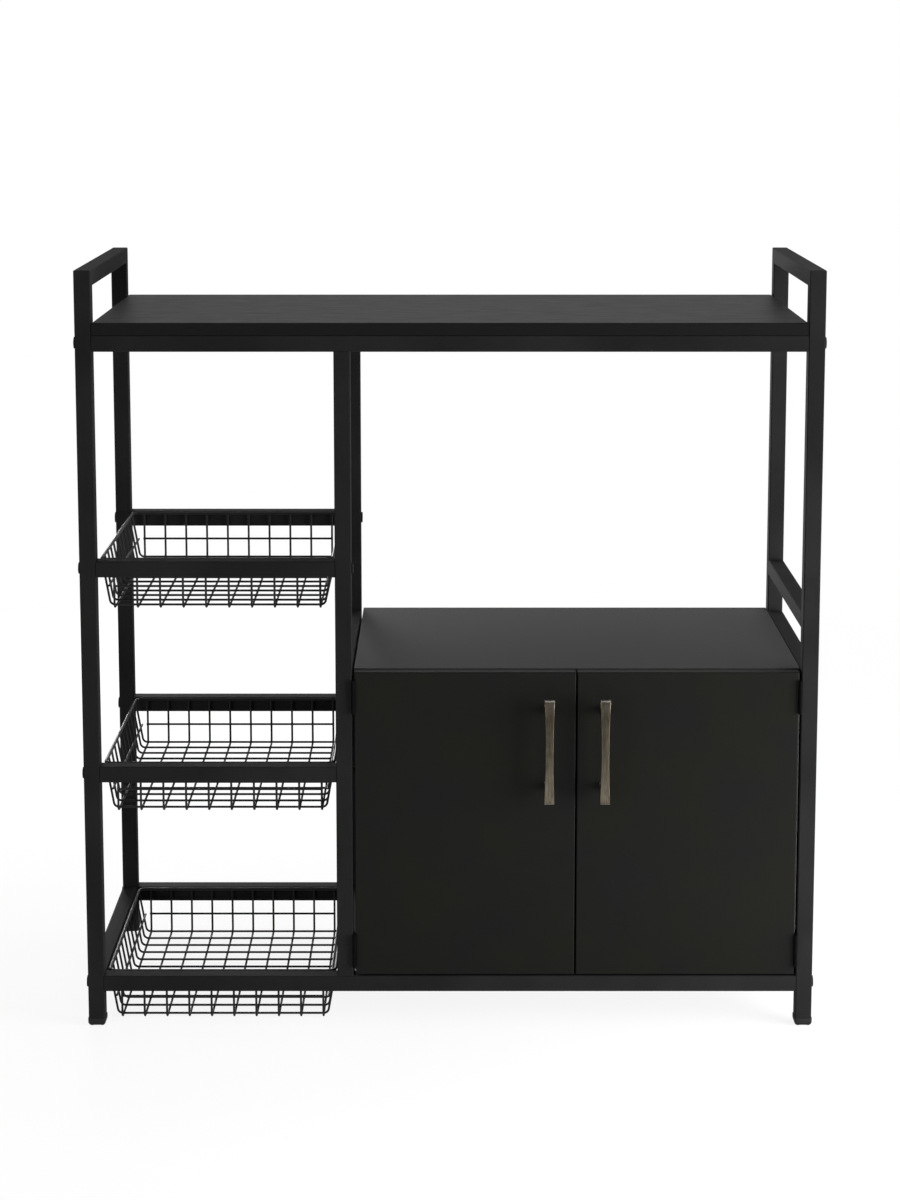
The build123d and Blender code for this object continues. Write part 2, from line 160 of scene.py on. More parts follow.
bpy.ops.object.select_all(action="DESELECT")
bpy.ops.mesh.primitive_circle_add(vertices=floor_sides, radius=floor_radius, fill_type="NGON")
floor = bpy.context.object
floor.name = "floor"
floor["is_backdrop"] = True

floor_finish = bpy.data.materials.new("pale_floor")
floor_finish.use_nodes = True
tree = floor_finish.node_tree
tree.nodes.clear()
coordinates = add_node(tree, "TexCoord")
distance = add_node(tree, "VectorMath", {0: coordinates.outputs["Object"]}, operation="LENGTH")
fade = add_node(
    tree,
    "MapRange",
    {
        "Value": distance.outputs["Value"],
        "From Min": fade_start,
        "From Max": fade_end,
        "To Min": white_near_share,
    },
    interpolation_type="SMOOTHSTEP",
)
white_share = add_node(tree, "Math", {0: fade.outputs[0], 1: seen_directly(tree)}, operation="MULTIPLY")
matt = add_node(tree, "BsdfDiffuse", {"Color": floor_colour})
shown_white = add_node(tree, "Emission", {"Color": white, "Strength": background_strength})
floor_parts = {0: white_share.outputs[0], 1: matt.outputs[0], 2: shown_white.outputs[0]}
floor_mix = add_node(tree, "MixShader", floor_parts)
add_node(tree, "OutputMaterial", {"Surface": floor_mix.outputs[0]})
floor.data.materials.append(floor_finish)
print("The floor reaches", floor_radius, "m from the rack")

# %% [markdown]
# ## Studio lamps
# A black rack is drawn by what its faces reflect. In the photograph the level faces are the lightest, the
# right posts are lighter than the left ones, and the inner faces of the right end are lighter still. So the
# key lamp stands at the right in front, with a weak one beside the right end, and a fill at the left. A
# wide sheet hangs above and behind for the boards. The lamp behind the left end stands low: the inner faces
# at the right mirror it at a flat angle, and the top board, which is higher, doesn't see it. A card on the
# floor lifts the lower edges, as a white floor does.

# %% Hang the lamps
rack_middle = Vector((0, 0, 0.5))
lamps = {
    "right_side": {"place": (1.15, -0.1, 0.7), "size": (0.5, 1.0), "power": 8.0},
    "right_key": {"place": (1.4, -0.7, 0.45), "size": (0.8, 0.8), "power": 50.0},
    "left_fill": {"place": (-1.5, -1.6, 0.3), "size": (0.8, 0.5), "power": 20.0},
    "left_rear": {"place": (-0.8, 2.2, 0.44), "size": (0.7, 0.8), "power": 50.0},
    "top_sheet": {"place": (0.3, 0.7, 2.6), "size": (2.2, 2.2), "power": 48.0},
    "floor_card": {"place": (0.3, -0.55, 0.03), "size": (1.3, 0.2), "power": 2.0},
}
for name, lamp in lamps.items():
    heading = (rack_middle - Vector(lamp["place"])).to_track_quat("-Z", "Y")
    bpy.ops.object.select_all(action="DESELECT")
    bpy.ops.object.light_add(type="AREA", location=lamp["place"], rotation=heading.to_euler())
    light = bpy.context.object
    light.name = name
    light.data.shape = "RECTANGLE"
    light.data.size, light.data.size_y = lamp["size"]
    light.data.energy = lamp["power"]
    light.visible_camera = False
print("Lamps:", ", ".join(lamps))

# %% [markdown]
# ## Patterns for the finishes
# No painted or printed surface is one flat colour. Each finish starts from a noise pattern laid over the
# piece in metres, on Object coordinates, so the grain has its real size on every piece. The pattern picks
# between two close colours, moves the roughness a little, and stands up as a shallow relief.

# %% Helpers for finishes
def new_finish(name):
    """A material with its main shader, ready for patterns."""
    finish = bpy.data.materials.new(name)
    finish.use_nodes = True
    return finish, finish.node_tree, finish.node_tree.nodes["Principled BSDF"]


def noise(tree, grain, stretch=(1.0, 1.0, 1.0), detail=3.0):
    """A noise pattern with grains of a size in metres, drawn out along the axes by the stretch."""
    coordinates = add_node(tree, "TexCoord")
    squeeze = tuple(1 / length for length in stretch)
    mapping = add_node(tree, "Mapping", {"Vector": coordinates.outputs["Object"], "Scale": squeeze})
    settings = {"Vector": mapping.outputs[0], "Scale": 1 / grain, "Detail": detail}
    return add_node(tree, "TexNoise", settings).outputs["Fac"]


def spread(tree, pattern, low=0.0, high=1.0, middle_share=0.5, width_share=0.3):
    """Stretch the middle of a noise pattern over a range of values, such as the range of a share."""
    limits = {
        "Value": pattern,
        "From Min": middle_share - width_share / 2,
        "From Max": middle_share + width_share / 2,
        "To Min": low,
        "To Max": high,
    }
    return add_node(tree, "MapRange", limits).outputs[0]


def two_colours(tree, share, first, second):
    """A colour between two, by a share. Each is red, green and blue, or another node's output."""
    ends = [end if isinstance(end, bpy.types.NodeSocket) else (*end, 1.0) for end in (first, second)]
    mix = add_node(tree, "Mix", {0: share, 6: ends[0], 7: ends[1]}, data_type="RGBA")
    return mix.outputs[2]


def relief(tree, shader, pattern, depth):
    """Let a pattern stand up from the surface by a depth in metres."""
    bump = add_node(tree, "Bump", {"Height": pattern, "Distance": depth})
    tree.links.new(bump.outputs[0], shader.inputs["Normal"])


def paint_nodes(finish, names):
    """Give CAD nodes a finish in place of the plain one that they arrived with."""
    for name in names:
        for material_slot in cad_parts[name].material_slots:
            material_slot.material = finish


def give_finish(piece, finish):
    """Make a finish the only one of a new piece."""
    piece.data.materials.clear()
    piece.data.materials.append(finish)


# %% [markdown]
# ## Powder coat
# The tubes are sprayed with dry black powder that is baked until it flows together. It never flows quite
# flat: up close it has the soft dimples of orange peel, under two millimetres across. A fine noise gives
# the dimples, and a wide, faint one keeps the long tubes from looking printed.

# %% Coat the frame
coat_dark = (0.0066, 0.0066, 0.0068)
coat_light = (0.0098, 0.0098, 0.0101)
coat_roughness = (0.82, 0.94)
coat_specular = 0.05
peel_grain = 0.0016
peel_depth = 0.00006
cloud_grain = 0.12

powder_coat, tree, shader = new_finish("black_powder_coat")
peel = noise(tree, peel_grain)
cloud = noise(tree, cloud_grain)
tree.links.new(two_colours(tree, spread(tree, cloud), coat_dark, coat_light), shader.inputs["Base Color"])
tree.links.new(spread(tree, peel, *coat_roughness), shader.inputs["Roughness"])
shader.inputs["Specular IOR Level"].default_value = coat_specular
relief(tree, shader, peel, peel_depth)

frame_tubes = [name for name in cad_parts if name.endswith(("_post", "_rail", "_top_bar"))]
paint_nodes(powder_coat, frame_tubes)
print("Powder coat on", len(frame_tubes), "tubes")

# %% [markdown]
# ## Board foil
# The top board is particle board in a black foil, pressed with a fine grain that runs along the rack. The
# grain is a noise drawn out along X. It is only just lighter than the ground, and shows most where light
# grazes the top. The foil is satin, so that it mirrors the dark posts near its ends. The edges wear a plain
# band without grain, and how far a face looks up or down tells the top from the edges.

# %% Cover the top board
foil_dark = (0.0035, 0.0035, 0.0037)
foil_light = (0.0115, 0.0115, 0.0118)
edge_band = (0.0062, 0.0062, 0.0066)
foil_roughness = (0.56, 0.46)
foil_specular = 0.02
pore_grain = 0.0014
pore_stretch = (26.0, 1.0, 1.0)
pore_depth = 0.0001
upright_limit = 0.4
level_limit = 0.8


def level_share(tree):
    """One on faces that look up or down, and zero on upright ones."""
    facing = add_node(tree, "NewGeometry")
    normal = add_node(tree, "SeparateXYZ", {0: facing.outputs["Normal"]})
    flatness = add_node(tree, "Math", {0: normal.outputs["Z"]}, operation="ABSOLUTE")
    limits = {"Value": flatness.outputs[0], "From Min": upright_limit, "From Max": level_limit}
    return add_node(tree, "MapRange", limits).outputs[0]


board_foil, tree, shader = new_finish("black_board_foil")
pores = noise(tree, pore_grain, pore_stretch)
grained = two_colours(tree, spread(tree, pores), foil_dark, foil_light)
banded = two_colours(tree, level_share(tree), edge_band, grained)
tree.links.new(banded, shader.inputs["Base Color"])
tree.links.new(spread(tree, pores, *foil_roughness), shader.inputs["Roughness"])
shader.inputs["Specular IOR Level"].default_value = foil_specular
relief(tree, shader, pores, pore_depth)

paint_nodes(board_foil, ["top_board"])
print("Grained foil on the top board")

# %% [markdown]
# ## Door foil
# The doors are wrapped in a softer, satin foil with a pearl of fine dots and no grain. In the photograph it
# is faintly cloudy, warmer in some places and cooler in others, so the wide noise here moves between two
# near blacks. The cabinet's sides and floor wear the same foil.

# %% Wrap the doors
door_warm = (0.0037, 0.0037, 0.0025)
door_cool = (0.0034, 0.0034, 0.0033)
door_roughness = (0.52, 0.64)
door_specular = 0.06
pearl_grain = 0.0011
pearl_depth = 0.00004
mottle_grain = 0.07

door_foil, tree, shader = new_finish("satin_door_foil")
pearl = noise(tree, pearl_grain)
mottle = noise(tree, mottle_grain)
tree.links.new(two_colours(tree, spread(tree, mottle), door_warm, door_cool), shader.inputs["Base Color"])
tree.links.new(spread(tree, pearl, *door_roughness), shader.inputs["Roughness"])
shader.inputs["Specular IOR Level"].default_value = door_specular
relief(tree, shader, pearl, pearl_depth)
wrapped = ["left_door", "right_door", "cabinet_left_panel", "cabinet_right_panel", "cabinet_floor"]
paint_nodes(door_foil, wrapped)
print("Satin foil on", ", ".join(wrapped))

# %% [markdown]
# ## Shelf foil, hardboard, plastic and plain steel
# The rest is simpler: a soft satin foil with fine dots on the cabinet's top, a thin hardboard back with its
# pressed speckle, moulded plastic in the catch and the feet, blackened steel in the bolts, dull black on
# the hinges and bright zinc on the strike plates, screws and nut plates. The cabinet's top is as black a
# foil as the others. Its colour is set lighter than theirs to paint in part of the sheen that the flat top
# shows, and its satin shine gives the rest. The hinges are black steel drawn darker than the other black
# parts, a painted shade, so that they recede into the shadow of the door gaps. One function makes them
# all, because they differ only in colour, shine and grain.

# %% A speckled finish
def speckled(name, dark, light, grain, depth, roughness, specular, metallic=0.0):
    """A finish with one speckle for its colour, its shine and its relief."""
    finish, tree, shader = new_finish(name)
    speckle = noise(tree, grain)
    tree.links.new(two_colours(tree, spread(tree, speckle), dark, light), shader.inputs["Base Color"])
    tree.links.new(spread(tree, speckle, *roughness), shader.inputs["Roughness"])
    shader.inputs["Specular IOR Level"].default_value = specular
    shader.inputs["Metallic"].default_value = metallic
    relief(tree, shader, speckle, depth)
    return finish


# %% Finish the shelf, the back and the plastic
# The cabinet top's colour is set lighter than the other black foils: painted sheen, on top of the satin shine
# that it really has.
shelf_foil_painted_sheen = speckled(
    "satin_shelf_foil",
    dark=(0.0175, 0.0175, 0.0172),
    light=(0.02, 0.02, 0.0197),
    grain=0.0011,
    depth=0.00004,
    roughness=(0.72, 0.8),
    specular=0.15,
)
hardboard = speckled(
    "black_hardboard",
    dark=(0.0065, 0.0065, 0.0065),
    light=(0.013, 0.0125, 0.012),
    grain=0.0024,
    depth=0.00008,
    roughness=(0.65, 0.78),
    specular=0.12,
)
moulded_plastic = speckled(
    "moulded_plastic",
    dark=(0.006, 0.006, 0.006),
    light=(0.009, 0.009, 0.009),
    grain=0.0009,
    depth=0.00003,
    roughness=(0.55, 0.68),
    specular=0.1,
)
paint_nodes(shelf_foil_painted_sheen, ["cabinet_top"])
paint_nodes(hardboard, ["cabinet_back_panel"])
paint_nodes(moulded_plastic, ["door_catch"])
print("Finished the cabinet's top, its back panel and the door catch")

# %% Finish the steel and the zinc
black_steel = speckled(
    "blackened_steel",
    dark=(0.004, 0.004, 0.0042),
    light=(0.007, 0.007, 0.0072),
    grain=0.0008,
    depth=0.00002,
    roughness=(0.6, 0.72),
    specular=0.06,
)
# The hinges are black steel drawn darker than the other black parts: painted shade, so that they recede into
# the shadow of the door gaps.
hinge_black_painted_shade = speckled(
    "dull_hinge_black",
    dark=(0.0011, 0.0011, 0.0011),
    light=(0.0018, 0.0018, 0.0018),
    grain=0.0008,
    depth=0.00002,
    roughness=(0.8, 0.9),
    specular=0.03,
)
bright_zinc = speckled(
    "bright_zinc",
    dark=(0.42, 0.43, 0.45),
    light=(0.58, 0.59, 0.6),
    grain=0.0018,
    depth=0.00001,
    roughness=(0.28, 0.4),
    specular=0.5,
    metallic=1.0,
)

hinge_names = [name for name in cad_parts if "_hinge_" in name]
zinc_endings = ("strike_plate", "handle_screws", "nut_plates")
zinc_names = [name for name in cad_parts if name.endswith(zinc_endings)]
paint_nodes(hinge_black_painted_shade, hinge_names)
paint_nodes(bright_zinc, zinc_names)
print("Dull black on", len(hinge_names), "hinge pieces, zinc on", len(zinc_names), "fittings")

# %% [markdown]
# ## Bending wire
# A basket is made on a machine that feeds wire straight on and bends it round a pin. Modelling it can go
# the same way: a circle as thick as the wire is extruded to feed it, and spun to bend it. The bends come
# out truly round, which a straight tube with cut corners never does. Spin turns clockwise about its axis,
# so it is given the axis reversed.

# %% A wire bender
millimetre = 0.001
wire_sides = 12
bend_steps = 6


def apply_place():
    """Move the selected piece's place into its mesh."""
    bpy.ops.object.transform_apply(location=True, rotation=True, scale=True)


def bent_wire(diameter, start, heading, axis, bend_radius, moves, closed=False):
    """Feed a wire and bend it. Each move is a length to feed and an angle to turn about the axis."""
    place = Vector(start)
    heading = Vector(heading).normalized()
    axis = Vector(axis)
    turn = heading.to_track_quat("Z", "Y").to_euler()
    bpy.ops.object.select_all(action="DESELECT")
    bpy.ops.mesh.primitive_circle_add(
        vertices=wire_sides, radius=diameter / 2, location=place, rotation=turn
    )
    apply_place()
    bpy.ops.object.mode_set(mode="EDIT")
    bpy.ops.mesh.select_all(action="SELECT")
    for length, angle in moves:
        bpy.ops.mesh.extrude_region_move(TRANSFORM_OT_translate={"value": heading * length})
        place += heading * length
        if angle:
            centre = place + axis.cross(heading) * bend_radius
            bpy.ops.mesh.spin(steps=bend_steps, angle=angle, center=centre, axis=-axis)
            bend = Matrix.Rotation(angle, 3, axis)
            place = centre + bend @ (place - centre)
            heading = bend @ heading
    bpy.ops.mesh.select_all(action="SELECT")
    if closed:
        bpy.ops.mesh.remove_doubles(threshold=diameter / wire_sides)
    else:
        bpy.ops.mesh.fill_holes(sides=wire_sides)
    bpy.ops.mesh.select_all(action="SELECT")
    bpy.ops.mesh.normals_make_consistent(inside=False)
    bpy.ops.object.mode_set(mode="OBJECT")
    print("Bent a wire of", len(bpy.context.object.data.polygons), "faces, ending at", tuple(place))
    return bpy.context.object


# %% [markdown]
# ## One basket
# Every basket is the same: ten wires run front to back underneath and turn up into upright walls, and
# twelve run left to right on top of them and turn up into walls that lean out. A straight wire crosses each
# wall half way up, and a thicker rim goes round the top. The wires are welded where they meet, so each
# sinks a little into the next. One wire of each kind is bent, as thick as it is with its coat, and an Array
# modifier sets out its neighbours.

# %% Sizes of the basket
wire = 2.8 * millimetre
rim_wire = 4.0 * millimetre
weld_sink = 0.2 * millimetre
side_lean = radians(10.0)
wire_bend = 6.5 * millimetre
rim_bend = 8.5 * millimetre
mid_wire_height = 26.5 * millimetre
lengthwise_count = 10
crosswise_count = 12

basket_low, basket_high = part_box("upper_basket")
rim_half_x = (basket_high.x - basket_low.x - rim_wire) / 2
rim_half_y = (basket_high.y - basket_low.y - rim_wire) / 2
rim_z = basket_high.z - rim_wire / 2
wall_top_z = rim_z - rim_wire / 2 + weld_sink
lengthwise_z = basket_low.z + wire / 2
crosswise_z = lengthwise_z + wire - weld_sink
print("The rim's middle line is", 2 * rim_half_x, "by", 2 * rim_half_y, "m")
print("The floor lies", rim_z - lengthwise_z, "m below it")

# %% [markdown]
# A wall that leans out makes the wire across the floor turn up by less than a right angle. The feed down
# each wall and along the floor stops short of the corner by the length that the bend takes up.

# %% Bend the floor wires
def floor_wire(rim_half, floor_z, lean):
    """A wire across the basket along X: down one wall, over the floor and up the other wall."""
    bend_angle = quarter_turn - lean
    taken_up = wire_bend * tan(bend_angle / 2)
    floor_half = rim_half - (wall_top_z - floor_z) * tan(lean)
    wall_run = (wall_top_z - floor_z) / cos(lean) - taken_up
    moves = [(wall_run, bend_angle), (2 * (floor_half - taken_up), bend_angle), (wall_run, 0)]
    down = (sin(lean), 0, -cos(lean))
    piece = bent_wire(wire, (-rim_half, 0, wall_top_z), down, (0, -1, 0), wire_bend, moves)
    return piece, floor_half - taken_up


def set_out(piece, count, reach):
    """Repeat a wire along Y, from one side of the basket to the other."""
    bpy.ops.object.select_all(action="DESELECT")
    piece.select_set(True)
    bpy.context.view_layer.objects.active = piece
    bpy.ops.object.modifier_add(type="ARRAY")
    row = piece.modifiers[-1]
    row.count = count
    row.use_relative_offset = False
    row.use_constant_offset = True
    row.constant_offset_displace = (0, 2 * reach / (count - 1), 0)
    bpy.ops.object.modifier_apply(modifier=row.name)
    piece.location.y = -reach
    apply_place()


lengthwise, crosswise_reach = floor_wire(rim_half_y, lengthwise_z, 0)
crosswise, lengthwise_reach = floor_wire(rim_half_x, crosswise_z, side_lean)
set_out(crosswise, crosswise_count, crosswise_reach)
set_out(lengthwise, lengthwise_count, lengthwise_reach)
lengthwise.rotation_euler.z = quarter_turn
apply_place()
print(lengthwise_count, "wires front to back, over", 2 * lengthwise_reach, "m")
print(crosswise_count, "wires left to right, over", 2 * crosswise_reach, "m")

# %% [markdown]
# The rim is a closed wire: a run along each side with a quarter turn at each corner. The last circle of
# points lands on the first, and Merge by Distance makes them one, so no seam is left. The wires half way up
# the walls are plain straight feeds between the first and the last upright, on the inside.

# %% Bend the rim and cut the wires across the walls
side_x = rim_half_x - rim_bend
side_y = 2 * (rim_half_y - rim_bend)
rim_moves = [
    (side_x, quarter_turn),
    (side_y, quarter_turn),
    (2 * side_x, quarter_turn),
    (side_y, quarter_turn),
    (side_x, 0),
]
rim_start = (0, -rim_half_y, rim_z)
rim = bent_wire(rim_wire, rim_start, (1, 0, 0), (0, 0, 1), rim_bend, rim_moves, closed=True)

mid_wire_z = lengthwise_z + mid_wire_height
inside = wire - weld_sink
front_y = rim_half_y - inside
wall_x = rim_half_x - (wall_top_z - mid_wire_z) * tan(side_lean) - inside / cos(side_lean)
front_length = 2 * lengthwise_reach + wire
side_length = 2 * crosswise_reach + wire
mid_wires = []
for side in (-1, 1):
    front_start = (-front_length / 2, side * front_y, mid_wire_z)
    side_start = (side * wall_x, -side_length / 2, mid_wire_z)
    mid_wires.append(bent_wire(wire, front_start, (1, 0, 0), (0, 0, 1), wire_bend, [(front_length, 0)]))
    mid_wires.append(bent_wire(wire, side_start, (0, 1, 0), (0, 0, 1), wire_bend, [(side_length, 0)]))

# %% [markdown]
# The real wires are spot welded into one piece, and Join makes one object of them here. They are then
# shaded as round. Edges that turn by more than the crease angle, such as those at a wire's cut end, stay
# sharp.

# %% Weld the basket
crease_angle = radians(40)


def join_pieces(pieces):
    """Join pieces into the first of them."""
    bpy.ops.object.select_all(action="DESELECT")
    for piece in pieces:
        piece.select_set(True)
    bpy.context.view_layer.objects.active = pieces[0]
    bpy.ops.object.join()
    return pieces[0]


basket = join_pieces([rim, lengthwise, crosswise, *mid_wires])
bpy.ops.object.shade_smooth_by_angle(angle=crease_angle)
print("One basket has", len(basket.data.polygons), "faces")

# %% [markdown]
# ## Wire coat
# The wire is dipped rather than sprayed, so its black is smoother and a little glossier than the tubes',
# with a slight waviness where the coat ran. One noise gives those runs, a few millimetres long.

# %% Dip the wire
dip_dark = (0.006, 0.006, 0.006)
dip_light = (0.0095, 0.0095, 0.0098)
dip_roughness = (0.5, 0.62)
dip_specular = 0.1
dip_grain = 0.0035
dip_depth = 0.00008

wire_coat, tree, shader = new_finish("dipped_wire_coat")
runs = noise(tree, dip_grain)
tree.links.new(two_colours(tree, spread(tree, runs), dip_dark, dip_light), shader.inputs["Base Color"])
tree.links.new(spread(tree, runs, *dip_roughness), shader.inputs["Roughness"])
shader.inputs["Specular IOR Level"].default_value = dip_specular
relief(tree, shader, runs, dip_depth)
give_finish(basket, wire_coat)
print("Dipped the basket in", wire_coat.name)

# %% [markdown]
# ## Three baskets
# The finished basket is copied to the three tiers, each copy with its own mesh. It was modelled at the
# upper rails' height about the middle of X and Y, so each copy moves by the place of its own packed basket,
# and the move is applied, which leaves the object at the origin and its place in its mesh. Each basket
# rides on the body that lifts it.

# %% Hang the baskets
def copy_piece(piece, name):
    """A copy of a piece with its own mesh, alone in the selection."""
    bpy.ops.object.select_all(action="DESELECT")
    piece.select_set(True)
    bpy.context.view_layer.objects.active = piece
    bpy.ops.object.duplicate(linked=False)
    copy = bpy.context.object
    copy.name = name
    return copy


for tier in ("upper", "middle", "bottom"):
    low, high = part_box(tier + "_basket")
    hung = copy_piece(basket, tier + "_wire_basket")
    hung.location = ((low.x + high.x) / 2, (low.y + high.y) / 2, low.z - basket_low.z)
    apply_place()
    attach(hung, tier + "_basket")
    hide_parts(tier + "_basket")
    print("Hung", hung.name, "at", low.z, "m")
bpy.data.objects.remove(basket)

# %% [markdown]
# ## Selecting by place
# In edit mode an operator acts on what is selected, and a script has no mouse to select with. So a helper
# goes through the points, edges or faces of a piece and selects those whose middle passes a test.

# %% Selecting by place
def select_where(piece, test, kind="verts"):
    """In edit mode, select the vertices, edges or faces of a piece whose middle passes a test."""
    mode = {"verts": "VERT", "edges": "EDGE", "faces": "FACE"}[kind]
    bpy.ops.mesh.select_all(action="DESELECT")
    bpy.ops.mesh.select_mode(type=mode)
    mesh = bmesh.from_edit_mesh(piece.data)
    chosen = 0
    for part in getattr(mesh, kind):
        corners = [part] if kind == "verts" else part.verts
        middle = sum((corner.co for corner in corners), Vector()) / len(corners)
        if test(middle):
            part.select_set(True)
            chosen += 1
    bmesh.update_edit_mesh(piece.data)
    return chosen


# %% [markdown]
# ## Handles
# Each handle is a cast bar on two legs: wide at the ends, slim at the waist, and bowed a little towards the
# hand. A box at the bar's size is cut across by bisect into short lengths. Each cut is drawn in to the
# waist, most at the middle, and pushed back towards the door, most at the ends, which makes the bow. Cuts
# at the edges of the legs are made too, for the next step.

# %% Model one handle
handle_end = 12.6 * millimetre
handle_waist = 9.4 * millimetre
handle_thickness = 8.0 * millimetre
handle_bow = 1.5 * millimetre
leg_spacing = 96.0 * millimetre
leg_size = 10.0 * millimetre
casting_edge = 0.7 * millimetre
casting_steps = 3
near = 0.01 * millimetre
cut_count = 10

handle_low, handle_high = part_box("left_handle")
handle_size = handle_high - handle_low
bar_front_y = -handle_size.y
bpy.ops.object.select_all(action="DESELECT")
bpy.ops.mesh.primitive_cube_add(
    size=1,
    location=(0, bar_front_y + handle_thickness / 2, 0),
    scale=(handle_end, handle_thickness, handle_size.z),
)
apply_place()
handle = bpy.context.object
bpy.ops.object.mode_set(mode="EDIT")
cut_heights = [handle_size.z * (step / cut_count - 1 / 2) for step in range(1, cut_count)]
cut_heights += [sign * leg_spacing / 2 + half * leg_size / 2 for sign in (-1, 1) for half in (-1, 1)]
for height in cut_heights:
    bpy.ops.mesh.select_all(action="SELECT")
    bpy.ops.mesh.bisect(plane_co=(0, 0, height), plane_no=(0, 0, 1))
half_length = handle_size.z / 2
for height in [*cut_heights, -half_length, half_length]:
    curve_share = (height / half_length) ** 2
    width_share = (handle_waist + (handle_end - handle_waist) * curve_share) / handle_end
    select_where(handle, lambda place: abs(place.z - height) < near)
    bpy.ops.transform.resize(value=(width_share, 1, 1), center_override=(0, 0, height))
    bpy.ops.transform.translate(value=(0, handle_bow * curve_share, 0))
print("Cut the bar at", len(cut_heights), "heights")

# %% [markdown]
# The legs grow out of the bar's back between their cuts, and their ends are made flat where they meet the
# door. A Bevel modifier then softens all edges, as a casting's are.

# %% Add the legs and soften the edges
def is_leg(place):
    """True on the back of the bar, between the two cuts of a leg."""
    on_back = place.y > bar_front_y + handle_thickness - near
    return on_back and abs(abs(place.z) - leg_spacing / 2) < leg_size / 2


leg_faces = select_where(handle, is_leg, "faces")
leg_length = handle_size.y - handle_thickness
bpy.ops.mesh.extrude_region_move(TRANSFORM_OT_translate={"value": (0, leg_length, 0)})
bpy.ops.transform.resize(value=(1, 0, 1), center_override=(0, 0, 0))
bpy.ops.mesh.select_all(action="SELECT")
bpy.ops.mesh.normals_make_consistent(inside=False)
bpy.ops.object.mode_set(mode="OBJECT")
bpy.ops.object.modifier_add(type="BEVEL")
soften = handle.modifiers[-1]
soften.width = casting_edge
soften.segments = casting_steps
bpy.ops.object.modifier_apply(modifier=soften.name)
bpy.ops.object.shade_smooth_by_angle(angle=crease_angle)
print("Extruded", leg_faces, "leg faces; the handle has", len(handle.data.polygons), "faces")

# %% [markdown]
# ## Antique nickel
# The handles are nickel, brushed up and down and then darkened, so that brown stays in the brush lines.
# The colour is also made darker towards the top and lighter towards the bottom. The flat ends at the top
# and the bottom are painted near white: a painted highlight for the light that they reflect. Streaks are a
# noise drawn out along Z. The darkening runs down the handle by its height, and the ends are found by how
# far a face looks up or down.

# %% Brush the handles
nickel_dark = (0.032, 0.027, 0.019)
nickel_light = (0.096, 0.083, 0.064)
# A near white colour: the painted highlight on the handle's flat ends.
nickel_painted_highlight = (0.85, 0.83, 0.8)
nickel_roughness = (0.42, 0.3)
nickel_metallic = 1.0
streak_grain = 0.0006
streak_stretch = (1.0, 1.0, 45.0)
streak_depth = 0.00002
patina_grain = 0.022
streak_shares = (0.0, 0.7)
patina_shares = (-0.15, 0.3)
top_share = -0.18
bottom_share = 0.1

antique_nickel, tree, shader = new_finish("antique_nickel")
streaks = noise(tree, streak_grain, streak_stretch)
patina = noise(tree, patina_grain)
coordinates = add_node(tree, "TexCoord")
place = add_node(tree, "SeparateXYZ", {0: coordinates.outputs["Object"]})
# Darker towards the top of the handle and lighter towards the bottom, by height.
heights = {
    "Value": place.outputs["Z"],
    "From Min": handle_high.z,
    "From Max": handle_low.z,
    "To Min": top_share,
    "To Max": bottom_share,
}
down_handle = add_node(tree, "MapRange", heights)
streaked = {0: spread(tree, streaks, *streak_shares), 1: down_handle.outputs[0]}
streak_share = add_node(tree, "Math", streaked, operation="ADD")
clouded = {0: streak_share.outputs[0], 1: spread(tree, patina, *patina_shares)}
patina_share = add_node(tree, "Math", clouded, operation="ADD", use_clamp=True)
brushed = two_colours(tree, patina_share.outputs[0], nickel_dark, nickel_light)
# The flat ends that look up or down get the painted highlight.
ends_painted_highlight = two_colours(tree, level_share(tree), brushed, nickel_painted_highlight)
tree.links.new(ends_painted_highlight, shader.inputs["Base Color"])
tree.links.new(spread(tree, streaks, *nickel_roughness), shader.inputs["Roughness"])
shader.inputs["Metallic"].default_value = nickel_metallic
relief(tree, shader, streaks, streak_depth)
give_finish(handle, antique_nickel)
print("Brushed the handle in", antique_nickel.name)

# %% [markdown]
# The finished handle is copied to each door. It was modelled with the ends of its legs at the origin's Y,
# so each copy moves to the face of its door, and rides on that door.

# %% Fix the handles
for side in ("left", "right"):
    low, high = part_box(side + "_handle")
    fixed = copy_piece(handle, side + "_bow_handle")
    fixed.location = ((low.x + high.x) / 2, high.y, (low.z + high.z) / 2)
    apply_place()
    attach(fixed, side + "_door")
    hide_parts(side + "_handle")
    print("Fixed", fixed.name, "at x", fixed.bound_box[0][0])
bpy.data.objects.remove(handle)

# %% [markdown]
# ## Bolts
# The frame is held by button-headed bolts, whose low domes stand out from the posts' sides. A disc gets its
# dome from a wide bevel with many steps, its shank from an inset and an extrusion at the back, and its
# six-sided socket from a Boolean.

# %% Model one bolt
head_radius = 7.0 * millimetre
head_height = 2.0 * millimetre
dome_edge = 1.7 * millimetre
dome_steps = 6
head_sides = 36
socket_sides = 6
socket_radius = 2.3 * millimetre
socket_depth = 1.3 * millimetre
shank_radius = 3.0 * millimetre
shank_length = 28.0 * millimetre

bpy.ops.object.select_all(action="DESELECT")
bpy.ops.mesh.primitive_cylinder_add(
    vertices=head_sides, radius=head_radius, depth=head_height, location=(0, 0, head_height / 2)
)
apply_place()
bolt = bpy.context.object
bpy.ops.object.mode_set(mode="EDIT")
select_where(bolt, lambda place: place.z < near, "faces")
bpy.ops.mesh.inset(thickness=head_radius - shank_radius)
bpy.ops.mesh.extrude_region_move(TRANSFORM_OT_translate={"value": (0, 0, -shank_length)})
select_where(bolt, lambda place: place.z > head_height - near)
bpy.ops.mesh.select_mode(type="EDGE")
bpy.ops.mesh.bevel(offset=dome_edge, segments=dome_steps, affect="EDGES")
bpy.ops.object.mode_set(mode="OBJECT")

